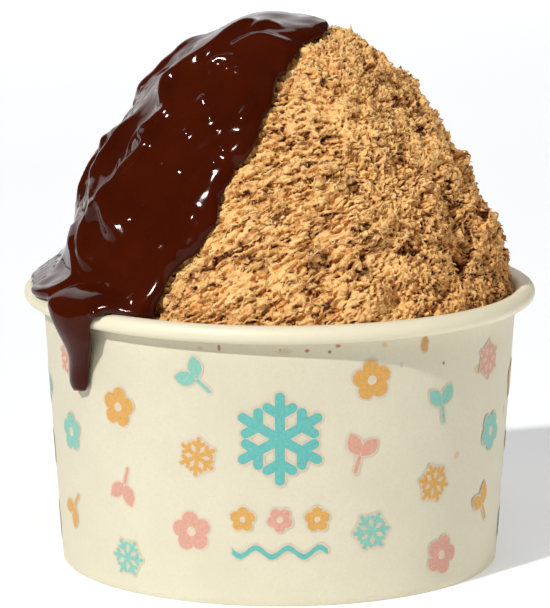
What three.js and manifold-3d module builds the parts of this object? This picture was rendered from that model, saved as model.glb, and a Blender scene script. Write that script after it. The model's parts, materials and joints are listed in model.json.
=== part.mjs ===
// A paper tub of coffee-coloured shaved ice, heaped into a dome, with chocolate sauce poured
// down one side and over the rim. Millimetres, +Z up, the front towards -Y, and the tub
// stands with its axis on Z and its foot at z = 0.

import * as THREE from 'three';
import { mergeVertices } from 'three/addons/utils/BufferGeometryUtils.js';
import Module from 'manifold-3d';

const wasm = await Module();
wasm.setup();

// ---- driving dimensions ----

const gap = 0.3;                 // clear space between pieces that touch
const finest = 0.06;             // smaller steps than this are smoothed out of a finished solid

const tub = {
  rimRadius: 75,                 // outside of the rolled rim
  rimTop: 82,
  footRadius: 64,                // outside of the wall at the table
  board: 0.6,                    // the paper's thickness
  beadWide: 6,
  beadHigh: 5.3,
  beadTurn: [-100, 180],         // the rolled rim's section runs between these angles
  beadSteps: 10,
  hemHigh: 5.7,                  // the wall's foot, folded in and up round the base
  sides: 48,
};

const heap = {
  top: 157,
  radius: 67.3,                  // where the heap goes down into the tub
  high: 76.5,                    // from there up to the top
  power: 2.45,                   // 2 is a parabola, more is blunter
  shift: 1.5,                    // the heap leans a little to +X
  step: 3.3,                     // edge length of its faces where it is bare
  coveredStep: 7.5,              // and under the sauce
};

const relief = {
  lumps: 110, lumpWide: [7, 13], lumpRise: [-1.8, 1.8],
  combPitch: 8, combTurns: 30, combRise: 0.8,          // ridges left by the shaving blade
};

// Curled shreds: slope and swing in radians, and the share of the heap's side they lie on.
const shred = {
  count: 34, long: [9, 16], thick: 1.0, steps: 3, lift: 1.4, bow: 0.12,
  slope: 0.62, swing: 0.9, band: [0.12, 0.88],
};

// Under the sauce the ice lies a little lower, over a short stretch at the sauce's edge.
const bed = { sunk: 0.4, deeper: 1.6, bareOver: 5, coveredOver: 4, bury: 4 };

// Clefts and shoulders of the heap: bearing in degrees from +X, way down from the top,
// radius, and rise (a cleft's is negative).
const forms = [
  [-68, 61, 6, -2.6], [-49, 65, 6, -2.4], [-79, 86, 7, -1.6], [-30, 48, 8, -1.4],
  [-60, 102, 7, -3.2], [-53, 88, 6, -2.4], [-36, 94, 8, -3.4], [-31, 80, 6, -2.6],
  [-47, 101, 11, 1.8], [-12, 82, 9, 1.6], [-72, 102, 10, 1.4], [-12, 99, 6, -2.2],
  [4, 97, 9, 1.8], [3, 76, 8, -2.2], [20, 73, 9, -2.6], [48, 90, 8, -2.8],
  [82, 66, 9, 2.0], [100, 94, 8, -2.4], [120, 11, 15, 5.0], [45, 18, 15, 1.8],
  [176, 34, 16, -2.4], [180, 97, 13, -3.6],
];

// Thick at its rounded edge and thinner inside it, but for the folds.
const sauce = {
  edgeThick: 3.2, thick: 2.1, edge: 4.5, foldRise: 2.2, foldWide: 4.0, step: 4.0,
  sunk: 0.3, dive: 2.4, deepest: 4, follow: 0.4,       // how closely it follows the ice's relief
  pastRim: 9,
};

// How far down from the top the sauce has run, at bearings round the heap.
const sauceRun = [
  [-180, 125], [-124, 125], [-121, 102], [-119, 95], [-113, 89], [-110, 80], [-108, 69],
  [-104, 63], [-100.5, 58], [-98, 51], [-95, 43], [-91, 35], [-82, 28], [-76, 21], [-59, 17.5],
  [-20, 14.5], [20, 14], [60, 17], [90, 27], [106, 42], [116, 58], [121, 76], [126, 91],
  [131, 102], [137, 125], [180, 125],
];

// Where it has run onto the rim: bearing, and how far out it lies there. It spreads over the
// last stretch above the rim and is tucked in below it.
const rimSauce = [
  [-226, 69.5], [-220, 72], [-211, 75.4], [-204, 74.8], [-196, 73], [-188, 74], [-180, 74.6],
  [-168, 74.3], [-160, 74.4], [-154, 75.6], [-142, 75.8], [-131, 74.2], [-125, 72], [-118, 69.5],
];
const rimSpread = { stretch: 8, tuck: 3 };

// Where it has run over the rim and down the wall: bearing, radius and height of the
// middle, half width and half depth.
const drips = [
  [
    [-140, 66, 86, 12, 2.4], [-140.5, 70.6, 84.6, 15, 3.1], [-141.5, 74, 82.4, 14, 3.4],
    [-141.5, 75.2, 78.2, 9.6, 3.0], [-141.2, 73.9, 74.2, 7.6, 2.7], [-142.2, 71.6, 69.5, 5.4, 2.6],
    [-144.2, 70.2, 64.5, 4.7, 2.7], [-145, 69.8, 60, 4.5, 2.7], [-145.2, 69.4, 57, 3.2, 1.9],
  ],
  [
    [150, 66, 86, 8, 2.2], [150, 70.4, 84.2, 10, 2.8], [149.5, 73.6, 82, 8.5, 2.9],
    [149, 74.9, 78.4, 5.8, 2.4], [148.6, 73.4, 75, 4.6, 2.4], [148.5, 72, 72, 2.8, 1.6],
  ],
];

// Raised folds where one run of sauce lies over another: [way down, bearing] along each.
const sauceFolds = [
  [[12, -146], [28, -142], [41, -155], [50, -141], [57, -149], [62, -142], [76, -151], [87, -141]],
  [[56, -164], [66, -166], [72, -168], [80, -155]],
  [[80, -151], [89, -156], [97, -147]],
  [[90, -164], [98, -153], [105, -151], [109, -165]],
  [[62, -178], [72, 176], [84, 178]],
  [[28, 158], [46, 164], [58, 156], [72, 158]],
  [[38, 128], [53, 136], [68, 134], [84, 142], [97, 146]],
];

const colours = { board: 0xe9e0c4, ice: 0xd09f64, sauce: 0x3a1208 };

// ---- small tools ----

const degrees = Math.PI / 180;
const goldenAngle = Math.PI * (3 - Math.sqrt(5));          // spreads points evenly round

function seeded(seed) {
  let state = seed;
  return () => {
    state = (state + 0x6d2b79f5) | 0;
    let mix = Math.imul(state ^ (state >>> 15), 1 | state);
    mix = (mix + Math.imul(mix ^ (mix >>> 7), 61 | mix)) ^ mix;
    return ((mix ^ (mix >>> 14)) >>> 0) / 4294967296;
  };
}

function within([low, high], share) {
  return low + (high - low) * share;
}

function alongLine(points, x) {
  const next = points.findIndex((point) => point[0] > x);
  if (next <= 0) return points[next === 0 ? 0 : points.length - 1][1];
  const [x0, y0] = points[next - 1];
  const [x1, y1] = points[next];
  return y0 + ((y1 - y0) * (x - x0)) / (x1 - x0);
}

// Joins rings of points, each with its own count, into one closed skin facing out.
function skinRings(rings) {
  const positions = [];
  const faces = [];
  const starts = rings.map((ring) => {
    const start = positions.length / 3;
    ring.forEach((point) => positions.push(point.x, point.y, point.z));
    return start;
  });
  for (let k = 0; k + 1 < rings.length; k++) {
    const upper = rings[k].length;
    const lower = rings[k + 1].length;
    const up = (n) => starts[k] + (n % upper);
    const down = (n) => starts[k + 1] + (n % lower);
    const upperEnd = upper > 1 ? upper : 0;
    const lowerEnd = lower > 1 ? lower : 0;
    let i = 0;
    let j = 0;
    while (i < upperEnd || j < lowerEnd) {
      const stepUpper = j >= lowerEnd || (i < upperEnd && (i + 1) * lower < (j + 1) * upper);
      if (stepUpper) faces.push(up(i), down(j), up(++i));
      else faces.push(up(i), down(j), down(++j));
    }
  }
  const geometry = new THREE.BufferGeometry();
  geometry.setAttribute('position', new THREE.Float32BufferAttribute(positions, 3));
  geometry.setIndex(faces);
  return geometry;
}

function toSolid(geometry) {
  const bare = geometry.clone();
  bare.deleteAttribute('normal');
  bare.deleteAttribute('uv');
  const merged = mergeVertices(bare, 1e-4);
  return new wasm.Manifold(new wasm.Mesh({
    numProp: 3,
    vertProperties: merged.attributes.position.array,
    triVerts: new Uint32Array(merged.index.array),
  }));
}

function toGeometry(solid) {
  const mesh = solid.getMesh();
  const geometry = new THREE.BufferGeometry();
  geometry.setAttribute('position', new THREE.Float32BufferAttribute(mesh.vertProperties, 3));
  geometry.setIndex(Array.from(mesh.triVerts));
  geometry.computeVertexNormals();
  return geometry;
}

// A profile of (radius, height) turned round the tub's axis.
function turned(profile) {
  return toSolid(new THREE.LatheGeometry(profile, tub.sides).rotateX(Math.PI / 2));
}

function largestPiece(solid) {
  return solid.decompose().reduce((a, b) => (a.volume() > b.volume() ? a : b));
}

// ---- the tub ----

function wallRadius(z) {
  const topRadius = tub.rimRadius - tub.beadWide + tub.board;
  return tub.footRadius + ((topRadius - tub.footRadius) * z) / tub.rimTop;
}

// The rolled rim's section, from the wall's outside round to its inside, grown by `grow`.
function beadArc(grow) {
  const middle = { r: tub.rimRadius - tub.beadWide / 2, z: tub.rimTop - tub.beadHigh / 2 };
  const half = { r: tub.beadWide / 2 + grow, z: tub.beadHigh / 2 + grow };
  return Array.from({ length: tub.beadSteps + 1 }, (_, k) => {
    const turn = THREE.MathUtils.lerp(...tub.beadTurn, k / tub.beadSteps) * degrees;
    return new THREE.Vector2(middle.r + half.r * Math.cos(turn), middle.z + half.z * Math.sin(turn));
  });
}

function makeWall() {
  const beadFoot = tub.rimTop - tub.beadHigh;
  const slot = tub.board + 2 * gap;                   // holds the base's flange
  const outside = (z, inward) => new THREE.Vector2(wallRadius(z) - inward, z);
  const profile = [
    outside(0, 0),
    outside(beadFoot, 0),
    ...beadArc(0),
    outside(beadFoot, tub.board),
    outside(tub.board, tub.board),
    outside(tub.board, tub.board + slot),
    outside(tub.hemHigh, tub.board + slot),
    outside(tub.hemHigh, 2 * tub.board + slot),
    outside(0, 2 * tub.board + slot),
    outside(0, 0),
  ];
  return turned(profile);
}

function makeBase() {
  const floorZ = tub.hemHigh + gap;
  const flangeFoot = tub.board + gap;
  const edge = (z, inward) => new THREE.Vector2(wallRadius(z) - tub.board - gap - inward, z);
  const profile = [
    new THREE.Vector2(0, floorZ),
    edge(floorZ, tub.board),
    edge(flangeFoot, tub.board),
    edge(flangeFoot, 0),
    edge(floorZ + tub.board, 0),
    new THREE.Vector2(0, floorZ + tub.board),
  ];
  return turned(profile);
}

// ---- the heap's plain form ----

function heapHeight(r) {
  return heap.top - heap.high * (r / heap.radius) ** heap.power;
}

// Way down the slope from the top, for radii out to the tub.
const heapTable = (() => {
  const steps = 400;
  const table = [[0, 0]];
  for (let k = 1; k <= steps; k++) {
    const r0 = (heap.radius * (k - 1)) / steps;
    const r1 = (heap.radius * k) / steps;
    table.push([table[k - 1][0] + Math.hypot(r1 - r0, heapHeight(r1) - heapHeight(r0)), r1]);
  }
  return table;
})();
const heapLength = heapTable[heapTable.length - 1][0];

// A point of the plain heap and the way out from it there.
function onHeap(way, bearing) {
  const r = alongLine(heapTable, way) + Math.max(0, way - heapLength);
  const slope = (heap.power * heap.high * (r / heap.radius) ** (heap.power - 1)) / heap.radius;
  const out = new THREE.Vector3(slope * Math.cos(bearing), slope * Math.sin(bearing), 1);
  const x = heap.shift + r * Math.cos(bearing);
  return { point: new THREE.Vector3(x, r * Math.sin(bearing), heapHeight(r)), out: out.normalize(), r };
}

// ---- where the sauce lies ----

function sauceReach(bearing) {
  const angle = bearing / degrees;
  return alongLine(sauceRun, ((((angle + 180) % 360) + 360) % 360) - 180);
}

const sauceOutline = Array.from({ length: 720 }, (_, k) => {
  const bearing = (k / 2) * degrees;
  return onHeap(Math.min(sauceReach(bearing), heapLength + sauce.pastRim), bearing).point;
});

// Distance in from the sauce's edge, negative outside it.
function insideSauce(way, bearing) {
  const here = onHeap(way, bearing).point;
  const distance = Math.min(...sauceOutline.map((point) => point.distanceTo(here)));
  return way < sauceReach(bearing) ? distance : -distance;
}

// ---- the ice ----

const random = seeded(7);

const lumps = Array.from({ length: relief.lumps }, (_, k) => {
  const way = heapLength * Math.sqrt((k + 0.5) / relief.lumps);
  const bearing = k * goldenAngle + 0.3 * random();
  return {
    at: onHeap(way, bearing).point,
    radius: within(relief.lumpWide, random()),
    rise: within(relief.lumpRise, random()),
  };
}).concat(forms.map(([bearing, way, radius, rise]) => (
  { at: onHeap(way, bearing * degrees).point, radius, rise })));

function iceRelief(way, bearing) {
  const { point, r } = onHeap(way, bearing);
  let rise = 0;
  for (const lump of lumps) {
    const near = 1 - point.distanceToSquared(lump.at) / lump.radius ** 2;
    if (near > 0) rise += lump.rise * near * near;
  }
  const turn = (2 * Math.PI * way) / relief.combPitch + relief.combTurns * bearing;
  const bend = 1.3 * Math.sin(way / 9 + 2 * bearing) + Math.sin(3 * bearing + way / 17);
  const fade = Math.min(1, r / 30);
  return rise + fade * relief.combRise * Math.sin(turn + bend);
}

// Rough where it is bare, and a little sunk towards the sauce and under it.
function bareRise(way, bearing) {
  const inside = insideSauce(way, bearing);
  const bare = THREE.MathUtils.clamp(-inside / bed.bareOver, 0, 1);
  const covered = THREE.MathUtils.clamp(inside / bed.coveredOver, 0, 1);
  return bare * (iceRelief(way, bearing) + bed.sunk) - bed.sunk - bed.deeper * covered;
}

// The plain bed that the sauce lies on, buried where the ice is bare.
function coveredRise(way, bearing) {
  const short = Math.max(0, bed.bareOver - insideSauce(way, bearing));
  return -bed.sunk - Math.min(bed.bury, bed.sunk * short);
}

function heapRings(step, rise, grow, fit = (point) => point) {
  const rows = Math.round(heapLength / step);
  const rings = [[onHeap(0, 0).point.setZ(heap.top + rise(0, 0) + grow)]];
  for (let row = 1; row <= rows; row++) {
    const way = (heapLength * row) / rows;
    const count = Math.max(8, 4 * Math.round((Math.PI * onHeap(way, 0).r) / (2 * step)));
    rings.push(Array.from({ length: count }, (_, k) => {
      const bearing = (2 * Math.PI * k) / count - Math.PI;
      const { point, out } = onHeap(way, bearing);
      return fit(point.addScaledVector(out, rise(way, bearing) + grow), grow);
    }));
  }
  return rings;
}

// Below the rim's top the ice keeps clear of the rolled rim.
function insideRim(point, grow) {
  const reach = Math.hypot(point.x, point.y);
  const limit = tub.rimRadius - tub.beadWide - gap + grow;
  if (point.z > tub.rimTop + 2 || reach < limit) return point;
  return new THREE.Vector3((point.x * limit) / reach, (point.y * limit) / reach, point.z);
}

function tubRing(z, inward) {
  const radius = (wallRadius(z) - tub.board - inward) * Math.cos(Math.PI / tub.sides);
  return Array.from({ length: tub.sides }, (_, k) => {
    const bearing = (2 * Math.PI * k) / tub.sides - Math.PI;
    return new THREE.Vector3(radius * Math.cos(bearing), radius * Math.sin(bearing), z);
  });
}

function heapSolid(step, rise, grow) {
  const floorZ = tub.hemHigh + gap + tub.board + gap;
  return toSolid(skinRings([
    ...heapRings(step, rise, grow, insideRim),
    tubRing(tub.rimTop - tub.beadHigh, gap - grow),
    tubRing(floorZ, gap - grow),
    [new THREE.Vector3(0, 0, floorZ)],
  ]));
}

function makeIceCore(grow) {
  const bed = heapSolid(heap.coveredStep, coveredRise, grow);
  return heapSolid(heap.step, bareRise, grow).add(bed);
}

// One curled shred of ice, lying along the blade's stroke with its ends sunk in the heap.
function makeShred(way, bearing, long, tilt) {
  const { r } = onHeap(way, bearing);
  const points = [-0.5, -0.17, 0.17, 0.5].map((share, k) => {
    const across = long * share;
    const bow = shred.bow * long * Math.cos(Math.PI * share);
    const pathWay = way - across * Math.sin(tilt) + bow;
    const pathBearing = bearing + (across * Math.cos(tilt)) / r;
    const { point, out } = onHeap(pathWay, pathBearing);
    const lift = k === 0 || k === 3 ? -shred.thick : shred.lift;
    return point.addScaledVector(out, bareRise(pathWay, pathBearing) + lift);
  });
  const side = shred.thick;
  const section = new THREE.Shape([[-side, -side / 2], [side, -side / 2], [0, side * 0.7]]
    .map(([x, y]) => new THREE.Vector2(x, y)));
  return toSolid(new THREE.ExtrudeGeometry(section, {
    steps: shred.steps,
    extrudePath: new THREE.CatmullRomCurve3(points),
  }));
}

function makeShreds() {
  const shreds = [];
  while (shreds.length < shred.count) {
    const way = heapLength * within(shred.band, Math.sqrt(random()));
    const bearing = 2 * Math.PI * random() - Math.PI;
    const long = within(shred.long, random());
    const tilt = shred.slope + shred.swing * (random() - 0.5);
    if (insideSauce(way, bearing) < -long / 2 - 3) shreds.push(makeShred(way, bearing, long, tilt));
  }
  return shreds;
}

function makeIce() {
  return largestPiece(wasm.Manifold.union([makeIceCore(0), ...makeShreds()]).simplify(finest));
}

// ---- the sauce ----

const foldLines = sauceFolds.map((line) => {
  const spots = [];
  for (let k = 0; k + 1 < line.length; k++) {
    for (let part = 0; part < 8; part++) {
      const way = THREE.MathUtils.lerp(line[k][0], line[k + 1][0], part / 8);
      const turn = ((line[k + 1][1] - line[k][1] + 540) % 360) - 180;
      spots.push(onHeap(Math.min(way, heapLength), (line[k][1] + (turn * part) / 8) * degrees).point);
    }
  }
  return spots;
});

// Height of the sauce's top over the plain heap: a rounded thick edge, and folds on the
// long runs. It dives into the heap outside the edge.
function sauceRise(way, bearing) {
  const inside = insideSauce(way, bearing);
  if (inside < 0) return Math.max(-sauce.deepest, -sauce.sunk + sauce.dive * inside);
  const edge = 1 - Math.min(1, inside / sauce.edge);
  const middle = Math.min(1, inside / (3 * sauce.edge));
  const { point } = onHeap(way, bearing);
  let folds = 0;
  for (const fold of foldLines) {
    const away = Math.min(...fold.map((spot) => spot.distanceTo(point)));
    folds += sauce.foldRise * Math.exp(-((away / sauce.foldWide) ** 2)) * (1 - edge);
  }
  const angle = bearing / degrees;
  const reach = alongLine(rimSauce, angle > 90 ? angle - 360 : angle);
  const past = Math.max(0, reach - heap.radius - sauce.thick - heap.shift * Math.cos(bearing));
  const spread = past * THREE.MathUtils.smoothstep(way, heapLength - rimSpread.stretch, heapLength);
  const body = THREE.MathUtils.lerp(sauce.edgeThick * Math.sqrt(1 - edge * edge), sauce.thick, middle);
  const ground = sauce.follow * iceRelief(way, bearing);
  return body - sauce.sunk + folds + (ground + spread) * (1 - edge);
}

// A closed skin of oval sections; each has its middle, two directions and half sizes.
function ovalSkin(sections, sides) {
  const rings = sections.map(({ middle, u, v, wide, deep }) => (
    Array.from({ length: sides }, (_, k) => {
      const turn = (2 * Math.PI * k) / sides;
      const point = middle.clone().addScaledVector(u, wide * Math.cos(turn));
      point.addScaledVector(v, deep * Math.sin(turn));
      point.x = Math.max(point.x, -tub.rimRadius);
      return point;
    })));
  const ends = [sections[0], sections[sections.length - 1]].map(({ middle }) => [middle]);
  return toSolid(skinRings([ends[0], ...rings, ends[1]]));
}

function makeDrip(drip) {
  const path = (share, column) => {
    const spline = new THREE.SplineCurve(drip.map((row, k) => new THREE.Vector2(k, row[column])));
    return spline.getPoint(share).y;
  };
  const steps = Math.round(1.5 * drip.length);
  return ovalSkin(Array.from({ length: steps + 1 }, (_, k) => {
    const share = k / steps;
    const bearing = path(share, 0) * degrees;
    const [r, z] = [path(share, 1), path(share, 2)];
    const [near, far] = [Math.max(0, share - 0.02), Math.min(1, share + 0.02)];
    const along = new THREE.Vector2(path(far, 1) - path(near, 1), path(far, 2) - path(near, 2));
    along.normalize();
    const out = new THREE.Vector3(Math.cos(bearing), Math.sin(bearing), 0);
    const inward = out.clone().multiplyScalar(along.y).setZ(-along.x);
    const round = new THREE.Vector3(-Math.sin(bearing), Math.cos(bearing), 0);
    const middle = out.multiplyScalar(r).setZ(z);
    return { middle, u: round, v: inward, wide: path(share, 3), deep: path(share, 4) };
  }), 12);
}

// The tub and all that is in it below the rim, grown by the gap, to cut the sauce's underside.
function makeFullTub() {
  const beadFoot = tub.rimTop - tub.beadHigh;
  const profile = [
    new THREE.Vector2(0, 0),
    new THREE.Vector2(wallRadius(0) + gap, 0),
    new THREE.Vector2(wallRadius(beadFoot) + gap, beadFoot - gap),
    ...beadArc(gap),
    new THREE.Vector2(wallRadius(beadFoot) - tub.board - gap, beadFoot),
    new THREE.Vector2(0, beadFoot),
  ];
  return turned(profile);
}

function makeSauce() {
  const rings = heapRings(sauce.step, sauceRise, 0);
  const foot = heapHeight(heap.radius) - rimSpread.tuck;
  const tucked = rings[rings.length - 1].map(({ x, y }) => {
    const inward = 1 - rimSpread.tuck / tub.rimRadius;
    return new THREE.Vector3(x * inward, y * inward, foot);
  });
  const onTheHeap = toSolid(skinRings([...rings, tucked, [new THREE.Vector3(0, 0, foot)]]));
  const poured = wasm.Manifold.union([onTheHeap, ...drips.map(makeDrip)]);
  const heapAndTub = makeIceCore(gap).add(makeFullTub());
  return largestPiece(poured.subtract(heapAndTub).simplify(finest));
}

// ---- the whole ----

function named(name, solid, colour, roughness) {
  const material = new THREE.MeshStandardMaterial({ color: colour, roughness, metalness: 0 });
  const mesh = new THREE.Mesh(toGeometry(solid), material);
  mesh.name = name;
  return mesh;
}

const group = new THREE.Group();
group.add(
  named('bowl_wall', makeWall(), colours.board, 0.6),
  named('bowl_base', makeBase(), colours.board, 0.6),
  named('shaved_ice', makeIce(), colours.ice, 0.85),
  named('chocolate_sauce', makeSauce(), colours.sauce, 0.12),
);

export default group;
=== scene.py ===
# A paper tub of caramel shaved ice under a thick run of chocolate sauce.
# Metres, +Z up. The tub stands on the floor at the origin and its front faces -Y.
import json
import math
import random

import bpy
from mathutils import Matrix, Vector, noise
from mathutils.kdtree import KDTree

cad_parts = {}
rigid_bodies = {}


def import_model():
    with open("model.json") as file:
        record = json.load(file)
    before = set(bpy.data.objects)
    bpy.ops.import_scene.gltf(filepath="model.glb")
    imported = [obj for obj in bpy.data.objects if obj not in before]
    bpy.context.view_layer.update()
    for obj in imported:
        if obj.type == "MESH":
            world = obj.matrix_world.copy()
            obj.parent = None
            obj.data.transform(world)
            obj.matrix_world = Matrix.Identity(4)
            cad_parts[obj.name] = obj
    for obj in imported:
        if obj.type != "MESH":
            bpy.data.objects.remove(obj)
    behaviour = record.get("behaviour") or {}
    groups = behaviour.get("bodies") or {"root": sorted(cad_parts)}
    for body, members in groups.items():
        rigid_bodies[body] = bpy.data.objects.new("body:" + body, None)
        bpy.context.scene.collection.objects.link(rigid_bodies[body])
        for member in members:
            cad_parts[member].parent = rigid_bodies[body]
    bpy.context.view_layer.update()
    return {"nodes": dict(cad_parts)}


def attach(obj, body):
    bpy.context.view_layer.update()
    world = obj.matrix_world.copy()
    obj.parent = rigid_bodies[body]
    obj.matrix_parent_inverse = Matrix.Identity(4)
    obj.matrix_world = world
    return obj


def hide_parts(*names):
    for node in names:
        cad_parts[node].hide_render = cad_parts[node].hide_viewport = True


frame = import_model()
mm = 0.001
body = "root"
mergeWithin = 0.005 * mm  # corners closer than this become one


def onlySelect(piece):
    if bpy.context.object and bpy.context.object.mode != "OBJECT":
        bpy.ops.object.mode_set(mode="OBJECT")
    bpy.ops.object.select_all(action="DESELECT")
    piece.select_set(True)
    bpy.context.view_layer.objects.active = piece


def deselect():
    bpy.ops.object.select_all(action="DESELECT")


def settle(piece):
    onlySelect(piece)
    bpy.ops.object.transform_apply(location=True, rotation=True, scale=True)


def useModifier(piece, kind, **choices):
    onlySelect(piece)
    bpy.ops.object.modifier_add(type=kind)
    modifier = piece.modifiers[-1]
    for choice, value in choices.items():
        setattr(modifier, choice, value)
    bpy.ops.object.modifier_apply(modifier=modifier.name)


def joined(pieces):
    for piece in pieces:
        if piece.name not in bpy.context.scene.collection.objects:
            bpy.context.scene.collection.objects.link(piece)
    onlySelect(pieces[0])
    for piece in pieces:
        piece.select_set(True)
    bpy.ops.object.join()
    return bpy.context.object


def addObject(name, data):
    piece = bpy.data.objects.new(name, data)
    bpy.context.scene.collection.objects.link(piece)
    return piece


def editWhole(piece):  # edit mode, with all of the piece selected
    onlySelect(piece)
    bpy.ops.object.mode_set(mode="EDIT")
    bpy.ops.mesh.select_all(action="SELECT")


def endEdit():  # turns every face outward and leaves edit mode
    bpy.ops.mesh.select_all(action="SELECT")
    bpy.ops.mesh.normals_make_consistent(inside=False)
    bpy.ops.object.mode_set(mode="OBJECT")


def copyOfNode(node, name):  # a merged copy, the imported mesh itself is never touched
    piece = addObject(name, frame["nodes"][node].data.copy())
    editWhole(piece)
    bpy.ops.mesh.remove_doubles(threshold=mergeWithin)
    bpy.ops.object.mode_set(mode="OBJECT")
    return piece


def keepPiece(piece, name, material, slotName, *replaced):
    piece.name = name
    piece.data.name = name
    piece.data.materials.clear()
    piece.data.materials.append(material)
    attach(piece, body)
    if replaced:
        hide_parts(*replaced)
    print("made", name, len(piece.data.polygons), "faces")


def smoothShade(piece, degrees=180):
    onlySelect(piece)
    bpy.ops.object.shade_smooth_by_angle(angle=math.radians(degrees))


def blendStep(low, high, value):  # 0 below low, 1 above high, smooth between
    share = min(max((value - low) / (high - low), 0), 1)
    return share * share * (3 - 2 * share)


def screenColour(red, green, blue):  # 0..255 as seen on a screen, to linear light
    return tuple(((part / 255 + 0.055) / 1.055) ** 2.4 if part > 10 else part / 3295
                 for part in (red, green, blue)) + (1,)


def setSockets(tree, node, values):  # each socket gets another node's output or a plain value
    for socket, value in values.items():
        if isinstance(value, bpy.types.NodeSocket):
            tree.links.new(value, node.inputs[socket])
        else:
            node.inputs[socket].default_value = value


def addNode(tree, kind, values=None, **choices):
    node = tree.nodes.new(kind)
    for choice, value in choices.items():
        setattr(node, choice, value)
    setSockets(tree, node, values or {})
    return node


def calc(tree, operation, *values):  # one step of arithmetic in a node tree
    return addNode(tree, "ShaderNodeMath", dict(enumerate(values)), operation=operation).outputs[0]


def vectorCalc(tree, operation, *values):
    node = addNode(tree, "ShaderNodeVectorMath", dict(enumerate(values)), operation=operation)
    return node.outputs["Value" if operation in ("DOT_PRODUCT", "LENGTH") else "Vector"]


def scaled(tree, vector, size):
    node = addNode(tree, "ShaderNodeVectorMath", {0: vector, "Scale": size}, operation="SCALE")
    return node.outputs["Vector"]


def stepped(tree, value, start, end):  # 0 at start, 1 at end, smooth between
    node = addNode(tree, "ShaderNodeMapRange", {"Value": value, "From Min": start, "From Max": end},
                   interpolation_type="SMOOTHSTEP")
    return node.outputs[0]


def ranged(tree, value, start, end, low, high):  # start to end becomes low to high, in a straight line
    values = {"Value": value, "From Min": start, "From Max": end, "To Min": low, "To Max": high}
    return addNode(tree, "ShaderNodeMapRange", values).outputs[0]


def noiseAt(tree, vector, scale, detail=0.0, **more):
    values = {"Vector": vector, "Scale": scale, "Detail": detail, **more}
    return addNode(tree, "ShaderNodeTexNoise", values).outputs[0]


def mixedColour(tree, share, first, second):
    return addNode(tree, "ShaderNodeMix", {0: share, 6: first, 7: second}, data_type="RGBA").outputs[2]


def bumped(tree, height, strength, deep, under=None):  # deep in millimetres, under is the coarser bump below
    values = {"Height": height, "Strength": strength, "Distance": deep * mm}
    if under is not None:
        values["Normal"] = under
    return addNode(tree, "ShaderNodeBump", values).outputs[0]


def objectPlace(tree):
    return addNode(tree, "ShaderNodeTexCoord").outputs["Object"]


def colourRamp(tree, source, stops):
    ramp = addNode(tree, "ShaderNodeValToRGB", {"Fac": source})
    ramp.color_ramp.elements.remove(ramp.color_ramp.elements[1])
    ramp.color_ramp.elements[0].position = stops[0][0]
    ramp.color_ramp.elements[0].color = stops[0][1]
    for place, colour in stops[1:]:
        ramp.color_ramp.elements.new(place).color = colour
    return ramp.outputs["Color"]


def newMaterial(name):
    material = bpy.data.materials.new(name)
    material.use_nodes = True
    tree = material.node_tree
    shader = tree.nodes["Principled BSDF"]
    return material, tree, shader


# Bearings, height angles and turns are in degrees, places and distances in metres.
view = {"place": (-0.00138, -1.17979, 0.29406), "turn": 79.469, "lens": 242.4, "sensor": 36}
studio = {
    # name, bearing, height angle, distance, width, height, power, mirrored in gloss
    "soft": [("backLight", 104, 22, 2.3, 2.2, 1.7, 13, True),
             ("sideLight", -8, 1, 1.3, 1.0, 0.2, 4.6, False),
             ("topLight", -80, 74, 1.1, 0.8, 0.8, 3.9, False)],
    "glint": (-128, 38, 2.0, 0.42, 46),  # bearing, height angle, distance, width, power; seen in gloss alone
    "sun": (-128, 38, 2, 2.62, 2.2),  # bearing, height angle, distance, strength, apparent width
    "aim": (0, 0, 0.085),
    "air": (0.96, 0.98, 1, 1), "airGlow": 0.04,
    "floorWide": 12, "floorCells": 8, "floorGlow": 0.3, "floorRough": 0.8, "floorCloud": (3, 2.0),
    "floorTones": ((0.3, (0.78, 0.79, 0.8, 1)), (0.7, (0.8, 0.81, 0.82, 1))),
}


def makeCamera():
    lens = bpy.data.cameras.new("camera")
    lens.lens = view["lens"]
    lens.sensor_width = view["sensor"]
    camera = addObject("camera", lens)
    camera.location = view["place"]
    camera.rotation_euler = (math.radians(view["turn"]), 0, 0)
    bpy.context.scene.camera = camera


def away(bearing, height):  # unit vector from the object towards a light
    bearing, height = math.radians(bearing), math.radians(height)
    level = math.cos(height)
    return Vector((math.cos(bearing) * level, math.sin(bearing) * level, math.sin(height)))


def addLight(glow, name, bearing, height, distance):
    light = addObject(name, glow)
    light.location = Vector(studio["aim"]) + away(bearing, height) * distance
    light.rotation_euler = away(bearing, height).to_track_quat("Z", "Y").to_euler()
    light.visible_camera = False
    return light


def makeLights():
    for name, bearing, height, distance, wide, high, power, mirrored in studio["soft"]:
        glow = bpy.data.lights.new(name, "AREA")
        glow.shape = "RECTANGLE"
        glow.size, glow.size_y, glow.energy = wide, high, power
        addLight(glow, name, bearing, height, distance).visible_glossy = mirrored
    bearing, height, distance, wide, power = studio["glint"]
    glow = bpy.data.lights.new("glint", "AREA")
    glow.shape, glow.size, glow.energy = "DISK", wide, power
    addLight(glow, "glint", bearing, height, distance).visible_diffuse = False
    bearing, height, distance, strength, wide = studio["sun"]
    glow = bpy.data.lights.new("keyLight", "SUN")
    glow.energy, glow.angle = strength, math.radians(wide)
    addLight(glow, "keyLight", bearing, height, distance)


def makeAir():
    world = bpy.data.worlds.new("studioAir")
    world.use_nodes = True
    tree = world.node_tree
    setSockets(tree, tree.nodes["Background"], {"Color": studio["air"], "Strength": studio["airGlow"]})
    bpy.context.scene.world = world
    bpy.context.scene.view_settings.view_transform = "Standard"


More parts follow.
